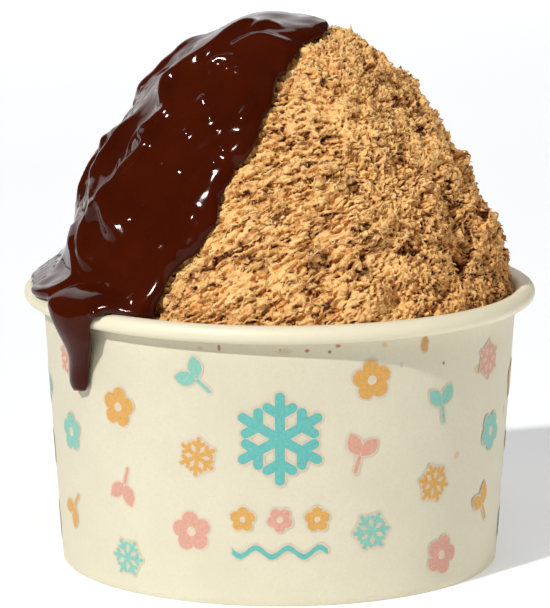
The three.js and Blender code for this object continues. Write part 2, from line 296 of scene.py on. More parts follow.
def makeFloor():
    deselect()
    cells = studio["floorCells"]
    bpy.ops.mesh.primitive_grid_add(x_subdivisions=cells, y_subdivisions=cells, size=studio["floorWide"])
    floor = bpy.context.object
    floor.name = "studioFloor"
    material, tree, shader = newMaterial("studioPaper")
    cloud = noiseAt(tree, objectPlace(tree), *studio["floorCloud"])
    setSockets(tree, shader, {
        "Base Color": colourRamp(tree, cloud, studio["floorTones"]), "Roughness": studio["floorRough"],
        "Emission Color": (1, 1, 1, 1), "Emission Strength": studio["floorGlow"]})
    floor.data.materials.append(material)


# The paper tub, in millimetres: a tapered wall with a rolled rim, and a base with a folded flange.
tub = {
    "foot": 64.0, "top": 69.6, "high": 82.0, "board": 0.6, "sides": 192,
    "footRound": 0.5, "wallFrom": 2, "wallSteps": 12, "inside": (78.6, 70, 50, 30, 14, 7.2),
    "lapTop": 4.0, "lapIn": 0.3,  # inside the foot
    "beadMiddle": (71.95, 79.35), "beadHalf": (2.9, 2.6), "beadSteps": 14,
    "beadFoot": 0.72,  # where the wall meets the bead, as a share of its half height
    "beadTurn": (-128, 296),  # where its round starts and how far it goes, in degrees
    "wave": 0.12, "waveApart": (1.6, 0.018),  # how far it sways, and how quickly round the wall and up it
    "waveFull": 30, "waveRadii": (75, 70),  # the height where it is full, and the radii it is a share of
    "creases": 50,  # edges that bend more than this many degrees stay sharp
}
base = {"recess": 6.0, "thick": 0.6, "sag": 0.05, "middle": 30, "hole": 0.4, "gap": 0.1, "sides": 160}


def wallRadius(height):  # outside of the wall
    return tub["foot"] + (tub["top"] - tub["foot"]) * height / tub["high"]


def turnedRing(name, profile, sides, closed):  # profile: (radius, height) pairs, walked round the section
    deselect()
    radius, height = profile[0]
    bpy.ops.mesh.primitive_circle_add(vertices=sides, radius=radius * mm, location=(0, 0, height * mm))
    piece = bpy.context.object
    settle(piece)
    editWhole(piece)
    for nextRadius, nextHeight in profile[1:]:
        grow = nextRadius / radius
        bpy.ops.mesh.extrude_region_move(TRANSFORM_OT_translate={"value": (0, 0, (nextHeight - height) * mm)})
        bpy.ops.transform.resize(value=(grow, grow, 1), center_override=(0, 0, 0))
        radius, height = nextRadius, nextHeight
    if closed:
        bpy.ops.mesh.select_all(action="DESELECT")
        bpy.ops.mesh.select_mode(type="VERT")
        bpy.ops.mesh.select_non_manifold()
        bpy.ops.mesh.bridge_edge_loops()
    endEdit()
    piece.name = name
    return piece


def makeTubWall():
    middleRadius, middleHeight = tub["beadMiddle"]
    halfWide, halfHigh = tub["beadHalf"]
    start, sweep = tub["beadTurn"]
    underBead = middleHeight - halfHigh * tub["beadFoot"]
    rounded, low, steps = tub["footRound"], tub["wallFrom"], tub["wallSteps"]
    profile = [(wallRadius(rounded) - rounded, 0.0), (wallRadius(rounded), rounded)]
    for step in range(steps + 1):
        height = low + (underBead - low) * step / steps
        profile.append((wallRadius(height), height))
    for step in range(tub["beadSteps"] + 1):  # out under the bead, over it and down inside
        turn = math.radians(start + sweep * step / tub["beadSteps"])
        profile.append((middleRadius + halfWide * math.cos(turn), middleHeight + halfHigh * math.sin(turn)))
    profile += [(wallRadius(height) - tub["board"], height) for height in (*tub["inside"], tub["lapTop"])]
    profile.append((wallRadius(0) - tub["board"] - tub["lapIn"], 0.0))
    wall = turnedRing("tubWall", profile, tub["sides"], True)
    apartRound, apartUp = tub["waveApart"]
    outer, middle = tub["waveRadii"]
    for vertex in wall.data.vertices:  # board is never quite round
        bearing, height = math.atan2(vertex.co.y, vertex.co.x), vertex.co.z / mm
        place = Vector((math.cos(bearing) * apartRound, math.sin(bearing) * apartRound, height * apartUp))
        share = tub["wave"] * blendStep(0, tub["waveFull"], height)
        grow = 1 - tub["wave"] / outer + noise.noise(place) * share / middle
        vertex.co.x *= grow
        vertex.co.y *= grow
    return wall


def makeTubBase():
    deep, middle, hole, thick = base["recess"], base["middle"], base["hole"], base["thick"]
    edge = wallRadius(deep) - tub["board"] - base["gap"]
    profile = [(hole, deep), (middle, deep - base["sag"]),  # underside, from the axis outward
               (edge - 3, deep), (edge - 1.0, deep - 0.4), (edge - 0.75, deep - 1.2),
               (edge - 0.95, 1.1), (edge - 0.75, 0.9), (edge - 0.5, 1.1),  # round the foot of the flange
               (edge - 0.15, deep), (edge - 0.4, deep + 0.5),
               (edge - 3, deep + thick), (middle, deep + thick - base["sag"]), (hole, deep + thick)]
    disc = turnedRing("tubBase", profile, base["sides"], False)
    bpy.ops.object.mode_set(mode="EDIT")
    half = deep + thick / 2
    for low, high in ((0, half), (half, deep + 1)):  # close both small holes on the axis
        bpy.ops.mesh.select_all(action="DESELECT")
        bpy.ops.object.mode_set(mode="OBJECT")
        for vertex in disc.data.vertices:
            vertex.select = vertex.co.xy.length < (hole + 0.1) * mm and low < vertex.co.z / mm < high
        bpy.ops.object.mode_set(mode="EDIT")
        bpy.ops.mesh.merge(type="CENTER")
    endEdit()
    return disc


def onWall(across, height, proud):  # across: round the wall from the front, to the right
    radius = wallRadius(height)
    bearing = across / radius - math.pi / 2
    outward = Vector((math.cos(bearing), math.sin(bearing), 0))
    return outward * (radius + proud) * mm + Vector((0, 0, height * mm))


# The lap seam at the back. Its proud height falls to a share of itself at both edges.
lapSeam = {"bearing": 90, "wide": 9.0, "low": 1.2, "gap": 0.1, "cells": (8, 30), "thick": 0.3,
           "proud": 0.35, "thinEdge": 0.25, "edgeFrom": 0.36, "sunk": 0.1}


def makeTubSeam():
    low, high = lapSeam["low"], tub["beadMiddle"][1] - tub["beadHalf"][1] - lapSeam["gap"]
    thin, (cellsAcross, cellsUp) = lapSeam["thinEdge"], lapSeam["cells"]
    deselect()
    bpy.ops.mesh.primitive_grid_add(x_subdivisions=cellsAcross, y_subdivisions=cellsUp, size=1)
    seam = bpy.context.object
    across = math.radians(lapSeam["bearing"] + 90)
    for vertex in seam.data.vertices:
        height = low + (high - low) * (vertex.co.y + 0.5)
        side = across * wallRadius(height) + vertex.co.x * lapSeam["wide"]
        full = 1 - blendStep(lapSeam["edgeFrom"], 0.5, abs(vertex.co.x))
        vertex.co = onWall(side, height, lapSeam["proud"] * (thin + (1 - thin) * full) - lapSeam["sunk"])
    useModifier(seam, "SOLIDIFY", thickness=lapSeam["thick"] * mm, offset=-1)
    return seam


stains = {
    "caramel": screenColour(168, 92, 38), "ochre": screenColour(196, 142, 74),
    # tone, across and height on the wall, half width, half height, strength
    "marks": [("caramel", -17.1, 74.8, 0.5, 1.0, 0.8), ("caramel", 7.5, 74.3, 0.6, 0.55, 0.8),
              ("caramel", 13.9, 73.8, 0.5, 0.5, 0.9), ("caramel", 16.2, 75.4, 0.9, 0.5, 0.8),
              ("caramel", 43.6, 75.0, 0.9, 0.9, 0.6), ("ochre", 43.4, 73.6, 1.5, 2.4, 0.85),
              ("caramel", 50.6, 67.3, 0.5, 0.5, 0.9), ("ochre", 66.4, 63.2, 2.0, 1.5, 0.4),
              ("ochre", 70.4, 65.2, 1.6, 1.1, 0.5), ("ochre", 88.9, 46.5, 1.1, 1.8, 0.45),
              ("ochre", 57.1, 39.2, 1.2, 1.2, 0.4), ("ochre", -22.6, 74.5, 0.9, 0.6, 0.4),
              ("ochre", 1.2, 74.1, 2.4, 0.9, 0.3), ("caramel", 0.0, 74.6, 0.35, 0.35, 0.5),
              ("ochre", 30.2, 74.8, 1.0, 0.8, 0.4), ("ochre", 35.6, 68.5, 0.5, 0.9, 0.35)],
    "uneven": (900, 3.0, 0.9),  # the size of the noise in their edge, its detail and its share
    "edge": (1.7, 1.1),  # where a mark starts and is full, in its own half widths
}


def stained(tree, place, tone):  # small drips and specks of what was poured, soaked into the board
    scale, detail, share = stains["uneven"]
    ragged = noiseAt(tree, place, scale, detail)
    for ink, across, height, wide, high, strength in stains["marks"]:
        apart = vectorCalc(tree, "SUBTRACT", place, onWall(across, height, 0))
        apart = vectorCalc(tree, "DIVIDE", apart, (wide * mm, wide * mm, high * mm))
        reach = calc(tree, "MULTIPLY_ADD", ragged, share, vectorCalc(tree, "LENGTH", apart))
        soaked = calc(tree, "MULTIPLY", stepped(tree, reach, *stains["edge"]), strength)
        tone = mixedColour(tree, soaked, tone, stains[ink])
    return tone


paper = {
    "pale": screenColour(221, 214, 189), "shade": screenColour(212, 204, 177),
    # rim: the rolled rim is paler, partly the board's own paler edge and partly painted light where it faces
    # up
    "rim": screenColour(232, 223, 194),
    "tones": (0.08, 0.36),  # where the shade and the pale colour stand on the ramp
    "rimFrom": (76, 78), "rough": (0.42, 0.6), "gloss": 0.35,
    "cloud": (38, 5), "cloudRough": 0.6, "fibre": (1500, 4), "fibreBent": 1.4,  # scale and detail
    "wavy": (0.25, 0.3), "grain": (0.2, 0.04),  # strength and depth of the bump
}


def paperMaterial():
    material, tree, shader = newMaterial("creamBoard")
    place = objectPlace(tree)
    cloud = noiseAt(tree, place, *paper["cloud"], Roughness=paper["cloudRough"])
    fibre = noiseAt(tree, place, *paper["fibre"], Distortion=paper["fibreBent"])
    shadeAt, paleAt = paper["tones"]
    stops = [(shadeAt, paper["shade"]), (paleAt, paper["pale"])]
    tone = colourRamp(tree, calc(tree, "MULTIPLY", cloud, fibre), stops)
    height = addNode(tree, "ShaderNodeSeparateXYZ", {0: place}).outputs["Z"]
    # paler rolled rim: partly the board's own edge, partly painted light
    low, high = paper["rimFrom"]
    tone = mixedColour(tree, ranged(tree, height, low * mm, high * mm, 0, 1), tone, paper["rim"])
    wavy = bumped(tree, cloud, *paper["wavy"])
    setSockets(tree, shader, {
        "Base Color": stained(tree, place, tone), "Roughness": ranged(tree, cloud, 0, 1, *paper["rough"]),
        "Specular IOR Level": paper["gloss"], "Normal": bumped(tree, fibre, *paper["grain"], wavy)})
    return material


# The print: crystals, blossoms and leaves in columns round the wall, and one large crystal in front, with
# three small blossoms and a wavy line under it.
printing = {
    "proud": 0.05, "strip": 1.6, "stripFrom": 0.013, "outline": 0.55, "seed": 11,
    "columns": 17, "rows": (15.5, 37.5, 59.5), "stagger": 10.5, "drop": 5, "highest": 68,
    "clear": 19, "radius": 5.8, "jitter": 2,
    "crystal": ((0, 49), 13.5, math.pi / 6), "wave": ((0, 16), 27),  # centre, then radius and turn, or length
    "blossoms": ((-10.5, 0.3, "amber"), (0, 0.9, "pink"), (10.5, 1.6, "amber")),  # across, turn, colour
    "blossomHeight": 25.5, "blossomRadius": 3.6,
}
inks = {
    "teal": (134, 192, 176), "deepTeal": (100, 182, 174), "pink": (214, 158, 138), "amber": (214, 162, 84),
    "pale": (218, 198, 172),
}
inkLook = {"speckle": (1300, 3), "tones": (0.3, 0.65), "dark": 0.9, "light": 1.06,
           "rough": 0.5, "gloss": 0.35, "bump": (0.2, 0.04)}
# Shares of a motif's radius, apart from the lean of a leaf, the powers that round an edge and the wavy line.
crystalShape = {"half": 0.105, "fork": 0.52, "twig": 0.3}
blossomShape = {"waist": 0.66, "petal": 0.34, "power": 0.6, "eye": 0.24}
leafShape = {"lean": 0.62, "wide": 0.36, "power": 0.8, "gap": 0.1, "long": 1.15,
             "stalk": 0.75, "stalkHalf": 0.09}
waveShape = {"high": 1.3, "waves": 3, "half": 0.85}
printParts = {ink: [] for ink in inks}


def flatShape(points, ink, level):  # a flat outline in the XZ plane, in millimetres
    deselect()
    bpy.ops.mesh.primitive_circle_add(vertices=len(points), radius=1, fill_type="NGON")
    shape = bpy.context.object
    for vertex, (across, height) in zip(shape.data.vertices, points):
        vertex.co = (across, level, height)
    printParts[ink].append(shape)


def barPoints(start, end, halfWide, rounds=6):  # a straight bar with round ends
    along = Vector(end) - Vector(start)
    lean = math.atan2(along.y, along.x)
    points = []
    for centre, turn in ((end, lean - math.pi / 2), (start, lean + math.pi / 2)):
        for step in range(rounds + 1):
            angle = turn + math.pi * step / rounds
            points.append((centre[0] + halfWide * math.cos(angle), centre[1] + halfWide * math.sin(angle)))
    return points


def turnedPoint(centre, radius, angle):
    return (centre[0] + radius * math.cos(angle), centre[1] + radius * math.sin(angle))


def inkTwice(makePoints, ink, level):  # a pale edge below, the colour above it
    flatShape(makePoints(printing["outline"]), "pale", level * 0.1)
    flatShape(makePoints(0), ink, level)


def crystal(centre, radius, turn, ink):  # six arms, each with two short side bars
    halfWide = radius * crystalShape["half"]
    for arm in range(6):
        angle = turn + math.pi * arm / 3
        bars = [(centre, turnedPoint(centre, radius - halfWide, angle))]
        root = turnedPoint(centre, radius * crystalShape["fork"], angle)
        for side in (-1, 1):
            bars.append((root, turnedPoint(root, radius * crystalShape["twig"], angle + side * math.pi / 3)))
        for number, (start, end) in enumerate(bars):
            inkTwice(lambda more: barPoints(start, end, halfWide + more), ink, 1 + 0.05 * (arm * 3 + number))


def blossom(centre, radius, turn, ink):  # five round petals about a pale eye
    def petals(more):
        points = []
        for step in range(60):
            angle = 2 * math.pi * step / 60
            bulge = abs(math.cos(2.5 * (angle - turn))) ** blossomShape["power"]
            reach = (radius + more) * (blossomShape["waist"] + blossomShape["petal"] * bulge)
            points.append(turnedPoint(centre, reach, angle))
        return points
    inkTwice(petals, ink, 1)
    eye = [turnedPoint(centre, radius * blossomShape["eye"], 2 * math.pi * step / 16) for step in range(16)]
    flatShape(eye, "pale", 1.6)


def leafPair(centre, radius, turn, ink):  # two pointed leaves on a short stalk
    for side in (-1, 1):
        lean = turn + side * leafShape["lean"]

        def leaf(more):
            points = []
            for step in range(28):
                along = step / 14
                half = -1 if along > 1 else 1
                part = 2 - along if along > 1 else along
                belly = math.sin(math.pi * part) ** leafShape["power"]
                wide = (radius * leafShape["wide"] + more) * belly * half
                stem = radius * leafShape["gap"] - more + (radius * leafShape["long"] + 2 * more) * part
                point = turnedPoint(centre, stem, lean)
                points.append(turnedPoint(point, wide, lean - math.pi / 2))
            return points
        inkTwice(leaf, ink, 1 + 0.1 * side)
    foot = turnedPoint(centre, radius * leafShape["stalk"], turn + math.pi)
    inkTwice(lambda more: barPoints(foot, centre, radius * leafShape["stalkHalf"] + more), ink, 1.3)


def wavyLine(centre, long, ink):
    def line(more):
        points = []
        for side in (1, -1):
            for step in range(41):
                share = (step / 40 if side > 0 else 1 - step / 40) - 0.5
                rise = waveShape["high"] * math.sin(share * 2 * waveShape["waves"] * math.pi)
                height = centre[1] + rise - side * (waveShape["half"] + more)
                points.append((centre[0] + share * (long + 2 * more), height))
        return points
    inkTwice(line, ink, 1)


def printOnWall(ink):
    shape = joined(printParts[ink])
    widest = max(abs(vertex.co.x) for vertex in shape.data.vertices)
    editWhole(shape)
    bpy.ops.mesh.quads_convert_to_tris(ngon_method="BEAUTY")
    cuts = int(widest / printing["strip"])
    for cut in range(-cuts, cuts + 1):  # upright cuts let the flat ink bend round the wall
        place = cut * printing["strip"] + printing["stripFrom"]
        bpy.ops.mesh.select_all(action="SELECT")
        bpy.ops.mesh.bisect(plane_co=(place, 0, 0), plane_no=(1, 0, 0))
    endEdit()
    for vertex in shape.data.vertices:
        level = printing["proud"] * (0.5 + 0.5 * vertex.co.y)
        vertex.co = onWall(vertex.co.x, vertex.co.z, level)
    return shape


def inkMaterial(name, colour):
    material, tree, shader = newMaterial(name)
    speckle = noiseAt(tree, objectPlace(tree), *inkLook["speckle"])
    light = tuple(min(part * inkLook["light"], 1) for part in colour[:3]) + (1,)
    dark = tuple(part * inkLook["dark"] for part in colour[:3]) + (1,)
    tone = colourRamp(tree, speckle, list(zip(inkLook["tones"], (dark, light))))
    setSockets(tree, shader, {
        "Base Color": tone, "Roughness": inkLook["rough"], "Specular IOR Level": inkLook["gloss"],
        "Normal": bumped(tree, speckle, *inkLook["bump"])})
    return material


def makePrint():
    colours = ("teal", "pink", "amber")
    motifs = (crystal, blossom, leafPair)
    rng = random.Random(printing["seed"])
    columns, jitter = printing["columns"], printing["jitter"]
    spacing = 2 * math.pi * wallRadius(40) / columns
    for column in range(columns):
        across = (column + 0.5 - columns / 2) * spacing
        for row, height in enumerate(printing["rows"]):
            height += printing["stagger"] * (column % 2) - printing["drop"]
            if abs(across) < printing["clear"] or height > printing["highest"]:
                continue
            centre = (across + rng.uniform(-jitter, jitter), height)
            colour = colours[(column + row) % 3]
            motifs[(column + 2 * row) % 3](centre, printing["radius"], rng.uniform(0, 6.28), colour)
    crystal(*printing["crystal"], "deepTeal")
    for across, turn, colour in printing["blossoms"]:
        blossom((across, printing["blossomHeight"]), printing["blossomRadius"], turn, colour)
    wavyLine(*printing["wave"], "deepTeal")
    for ink in printParts:
        material = inkMaterial(ink + "Ink", screenColour(*inks[ink]))
        keepPiece(printOnWall(ink), "print_" + ink, material, "tub_paper")


# The heap: height falls from the top by a power of the radius. All in millimetres.
heap = {"top": 157, "radius": 67.3, "high": 76.5, "power": 2.45, "shift": 1.5, "pieces": 400}
past = (0.3, 0.95)  # beyond the heap's edge: outward and down for each millimetre
heapPath = []  # (way down from the top, radius, height)


def heapHeight(radius):
    return heap["top"] - heap["high"] * (radius / heap["radius"]) ** heap["power"]


def measureHeap():
    way = 0
    for step in range(heap["pieces"] + 1):
        radius = heap["radius"] * step / heap["pieces"]
        if step:
            way += math.hypot(radius - heapPath[-1][1], heapHeight(radius) - heapPath[-1][2])
        heapPath.append((way, radius, heapHeight(radius)))


def onHeap(way, bearing):  # bearing in degrees, way from the top; past the rim it goes straight on
    if way >= heapPath[-1][0]:
        extra = way - heapPath[-1][0]
        radius, height = heapPath[-1][1] + extra * past[0], heapPath[-1][2] - extra * past[1]
    else:
        low = 0
        while heapPath[low + 1][0] < way:
            low += 1
        share = (way - heapPath[low][0]) / (heapPath[low + 1][0] - heapPath[low][0])
        radius = heapPath[low][1] + (heapPath[low + 1][1] - heapPath[low][1]) * share
        height = heapHeight(radius)
    turn = math.radians(bearing)
    return Vector((heap["shift"] + radius * math.cos(turn), radius * math.sin(turn), height)) * mm


# The sauce, in millimetres. A spot on it is its way down from the heap's top and its bearing in degrees.
sauce = {
    "voxel": 0.66, "smooth": 16, "lip": (73, 76, 94, 100), "lipSmooth": 40, "steps": 40, "lastSmooth": 3,
    "heart": 70, "reach": 30,  # height of the middle that it is drawn from, and how far above it a ray starts
    "facing": (0.1, 0.6),  # how far a face looks away from the heart where the lift starts and is full
    "ends": (0.35, 0.6),  # a ridge's height at its ends, and how much of a step it takes to be full
    "swell": ((22, 0.6), (9, 0.4), (5, 0.07)),  # how far apart, how high
    # rise, half width, then [way, bearing] points from the top down
    "ridges": [
        (1.3, 3.2, [[12, -146], [28, -142], [41, -155], [50, -141], [57, -149], [62, -142], [76, -151],
                    [87, -141]]),
        (1.2, 3.0, [[56, -164], [66, -166], [72, -168], [80, -155]]),
        (1.2, 3.0, [[80, -151], [89, -156], [97, -147]]),
        (1.2, 3.0, [[90, -164], [98, -153], [105, -151], [109, -165]]),
        (1.2, 3.0, [[62, 182], [72, 176], [84, 178]]),
        (1.2, 3.0, [[28, 158], [46, 164], [58, 156], [72, 158]]),
        (1.2, 3.0, [[38, 128], [53, 136], [68, 134], [84, 142], [97, 146]]),
        (0.9, 2.8, [[17, -123], [9, -124], [12, -97]]),
        (1.3, 3.4, [[26, -127], [19, -112], [25, -81]]),
        (1.5, 2.6, [[37, -130], [32, -132], [29, -121]]),
        (0.8, 2.2, [[38, -123], [43, -119], [48, -119], [52, -120]]),
        (1.0, 2.4, [[42, -106], [46, -104], [49, -105], [52, -107]]),
        (0.7, 2.0, [[78, -116], [85, -118]]),
        (0.6, 1.8, [[87, -124], [93, -127]]),
    ],
    "streak": (0.6, 1.6, 2.0, -0.6),  # rise, half width, length down the slope and turn along it
    "streaks": [[54, -133], [53, -115], [66, -125], [65, -133], [76, -134], [82, -138], [85, -130],
                [96, -135], [97, -132], [48, 168], [66, 148], [78, 150], [90, 170], [58, 128]],
    "bead": (0.85, 2.2),
    "beads": [[33, -122], [34, -116], [45, -126], [56, -127], [60, -111], [64, -113], [104, -128],
              [109, -134], [40, 146], [52, 172], [74, 140], [92, 152]],
}
sauceHeart = Vector((heap["shift"], 0, sauce["heart"])) * mm


def smoothRun(points, steps):  # a soft curve through the points
    run = []
    for index in range(len(points) - 1):
        before = Vector(points[max(index - 1, 0)])
        start, end = Vector(points[index]), Vector(points[index + 1])
        after = Vector(points[min(index + 2, len(points) - 1)])
        for step in range(steps):
            t = step / steps
            run.append(0.5 * (2 * start + (end - before) * t
                              + (2 * before - 5 * start + 4 * end - after) * t * t
                              + (3 * start - before - 3 * end + after) * t ** 3))
    run.append(Vector(points[-1]))
    return run


def onSauce(piece, way, bearing):  # the same place on top of the sauce
    place = onHeap(way, bearing)
    outward = (place - sauceHeart).normalized()
    hit, where, _, _ = piece.ray_cast(place + outward * sauce["reach"] * mm, -outward)
    return where if hit else place


def ridgeLines(piece):  # rise, half width and the measured run of each small ridge, streak and bead
    streakRise, streakHalf, streakLong, streakTurn = sauce["streak"]
    lines = list(sauce["ridges"])
    lines += [(streakRise, streakHalf, [[way, bearing], [way + streakLong, bearing + streakTurn]])
              for way, bearing in sauce["streaks"]]
    lines += [(*sauce["bead"], [spot]) for spot in sauce["beads"]]
    measured = []
    for rise, half, points in lines:
        run = [onSauce(piece, way, bearing) for way, bearing in smoothRun(points, sauce["steps"])]
        tree = KDTree(len(run))
        for number, place in enumerate(run):
            tree.insert(place, number)
        tree.balance()
        measured.append((rise, half * mm, tree, len(run)))
    return measured


def makeSauce():
    piece = copyOfNode("chocolate_sauce", "sauceRun")
    useModifier(piece, "REMESH", mode="VOXEL", voxel_size=sauce["voxel"] * mm)
    useModifier(piece, "SMOOTH", factor=0.5, iterations=sauce["smooth"])
    lip = piece.vertex_groups.new(name="lip")
    lowest, low, high, highest = sauce["lip"]
    for vertex in piece.data.vertices:  # the part that lies on the rim is drawn smooth
        height = vertex.co.z / mm
        share = blendStep(lowest, low, height) * (1 - blendStep(high, highest, height))
        lip.add([vertex.index], share, "REPLACE")
    useModifier(piece, "SMOOTH", factor=0.5, iterations=sauce["lipSmooth"], vertex_group="lip")
    lines = ridgeLines(piece)
    atEnds, within = sauce["ends"]
    moves = []
    for vertex in piece.data.vertices:
        place, out = vertex.co, vertex.normal
        lift = sum(rise * noise.noise(place / (apart * mm)) for apart, rise in sauce["swell"])
        for rise, half, tree, count in lines:
            _, number, distance = tree.find(place)
            if distance < half:
                fromEnd = min(number, count - 1 - number)
                share = 1 if count == 1 else min(1, atEnds + fromEnd / (within * sauce["steps"]))
                lift += rise * (1 - (distance / half) ** 2) ** 2 * share
        outward = out.dot((place - sauceHeart).normalized())
        moves.append(out * lift * mm * blendStep(*sauce["facing"], outward))
    for vertex, move in zip(piece.data.vertices, moves):
        vertex.co += move
    useModifier(piece, "SMOOTH", factor=0.5, iterations=sauce["lastSmooth"])
    smoothShade(piece)
    return piece


gloss = {
    "tones": ((0.3, (0.040, 0.0045, 0.0008, 1)), (0.7, (0.058, 0.0065, 0.0012, 1))),
    "cloud": (60, 3), "ripple": (260, 2), "bump": (0.12, 0.3), "rough": (0.07, 0.13),
    "bending": 1.37, "shine": 0.22,
}


def sauceMaterial():
    material, tree, shader = newMaterial("chocolateGloss")
    place = objectPlace(tree)
    cloud = noiseAt(tree, place, *gloss["cloud"])
    ripple = noiseAt(tree, place, *gloss["ripple"])
    setSockets(tree, shader, {
        "Base Color": colourRamp(tree, cloud, gloss["tones"]),
        "Roughness": ranged(tree, cloud, 0, 1, *gloss["rough"]),
        "IOR": gloss["bending"], "Specular IOR Level": gloss["shine"],
        "Normal": bumped(tree, ripple, *gloss["bump"])})
    return material


# The ice, in millimetres and degrees. Each kind of relief has its own spacing and width.
ice = {
    "voxel": 0.33, "cut": 74.0, "spare": 1.0, "seed": 5, "rim": 80.8,
    "hidden": (-46, 80, 0.5),  # upright plane under the sauce: across, height and lean
    "lean": (38, 10), "leanHeight": (95, 140), "combFacing": -108, "combWidth": (0.2, 0.9),
    "combMiddle": (-10, -42, 118), "slopeThere": 1.3,
    "warpApart": 3.1, "warp": 0.8, "lumpApart": 8.5, "cleftApart": 11, "cleftWide": 0.03,
    "grooveApart": 3.2, "grooveWide": 0.055, "grooveLong": 0.9, "grooveLeast": 0.3,
    "groovePatch": 12, "patchShare": (0.36, 0.5),  # grooves come in patches
    "pitApart": 1.45, "pitWide": (0.6, 0.38), "pitUneven": 0.24, "pitLong": 0.6,
    "strandApart": 1.6, "strandLong": 0.75, "fineApart": 0.85,
    "creaseFull": 0.2,  # share of a crease's width where it is at its deepest
    "crest": (6.0, -0.5, 0.4),  # how steep a strand's side is, where it starts and its flat top
    "sink": 0.1,
    "lift": {"lump": 6.5, "groove": -1.4, "cleft": -2.2, "pit": -1.25, "strand": 0.7, "fine": 0.4},
    # Painted shade: pits, grooves, clefts and low lumps are coloured darker, strand tops, fine crests and
    # high lumps lighter.
    "shade": (0.6, 0.23),  # what a pit adds to the painted shade, and the darkness all over
    "shades": {"groove": 0.5, "strand": -0.2, "cleft": 0.25, "lump": -0.5, "fine": -0.12},
    "rimFade": (3, 2, 0.3),  # relief starts below the rim, is full above it, and how far the ice draws in
    "cover": (3, 9),  # a ray from this far under the ice, this long, finds the sauce on it
    "soaked": (-10, 0.6, 1.0, 0.07),  # painted shade on the right side, away from the main light: facing, where it starts and is full, how much darker
    "shadeLow": (116, 84, 0.05, 0.16),  # painted shade low on the heap: height where it starts and is full, how much darker all round and on the shaded side
    "wedges": (("ice_front", -180, -95), ("ice_frontRight", -95, -31), ("ice_right", -31, 33),
               ("ice_backRight", 33, 97), ("ice_back", 97, 180)),
    "wedgeSmooth": 75,
}


def cutAway(piece, place, direction):  # keeps what lies ahead of the plane and closes the cut
    editWhole(piece)
    bpy.ops.mesh.bisect(plane_co=place, plane_no=direction, clear_inner=True, use_fill=True)
    bpy.ops.object.mode_set(mode="OBJECT")


def hiddenPlane(spare):
    across, height, lean = ice["hidden"]
    return Vector((across - spare, 0, height)) * mm, Vector((1, 0, -lean)).normalized()


def makeIceBed():  # plain ice that the sauce hides
    bed = copyOfNode("shaved_ice", "iceBed")
    place, direction = hiddenPlane(0)
    cutAway(bed, place, -direction)
    cutAway(bed, (0, 0, ice["cut"] * mm), (0, 0, 1))
    return bed


def makeBareIce(sauceRun):
    bare = copyOfNode("shaved_ice", "iceBare")
    place, direction = hiddenPlane(ice["spare"])
    cutAway(bare, place, direction)
    cutAway(bare, (0, 0, (ice["cut"] - ice["spare"]) * mm), (0, 0, 1))
    useModifier(bare, "REMESH", mode="VOXEL", voxel_size=ice["voxel"] * mm)
    useModifier(bare, "NODES", node_group=reliefNodes(sauceRun))
    return bare


def newRecipe(name):  # an empty tree of geometry nodes, and what enters it
    tree = bpy.data.node_groups.new(name, "GeometryNodeTree")
    for way in ("INPUT", "OUTPUT"):
        tree.interface.new_socket("Geometry", in_out=way, socket_type="NodeSocketGeometry")
    return tree, addNode(tree, "NodeGroupInput").outputs[0]


def kept(tree, geometry, name, value, kind="FLOAT", domain="POINT"):  # stores an attribute for later
    values = {"Geometry": geometry, "Name": name, "Value": value}
    return addNode(tree, "GeometryNodeStoreNamedAttribute", values, data_type=kind, domain=domain).outputs[0]


def asKept(tree, name, kind="FLOAT"):
    return addNode(tree, "GeometryNodeInputNamedAttribute", {"Name": name}, data_type=kind).outputs[0]


def levelWay(degrees):  # the way that a level bearing points
    turn = math.radians(degrees)
    return math.cos(turn), math.sin(turn), 0


def grainNodes(tree, place):  # how the blade combed the heap, where its strokes show, and the painted shade on its shaded side and low down
    ahead, side, _ = levelWay(ice["combFacing"])
    aside = Vector((-side, ahead, 0))
    upward = Vector((-ahead, -side, ice["slopeThere"])).normalized()
    height = addNode(tree, "ShaderNodeSeparateXYZ", {0: place}).outputs[2]
    lean = ranged(tree, height, *ice["leanHeight"], *(math.radians(angle) for angle in ice["lean"]))
    along = vectorCalc(tree, "ADD", scaled(tree, aside, calc(tree, "COSINE", lean)),
                       scaled(tree, upward, calc(tree, "SINE", lean)))
    flat = vectorCalc(tree, "MULTIPLY", vectorCalc(tree, "SUBTRACT", place, (heap["shift"], 0, 0)), (1, 1, 0))
    flat = vectorCalc(tree, "NORMALIZE", flat)
    towards = vectorCalc(tree, "DOT_PRODUCT", flat, levelWay(ice["combFacing"]))
    comb = stepped(tree, towards, *ice["combWidth"])
    facing, start, full, darker = ice["soaked"]
    shadedSide = stepped(tree, vectorCalc(tree, "DOT_PRODUCT", flat, levelWay(facing)), start, full)
    top, foot, allRound, onShadedSide = ice["shadeLow"]
    shadeLow = calc(tree, "MULTIPLY", stepped(tree, height, top, foot),
                calc(tree, "MULTIPLY_ADD", shadedSide, onShadedSide, allRound))
    return along, comb, height, calc(tree, "MULTIPLY_ADD", shadedSide, darker, shadeLow)


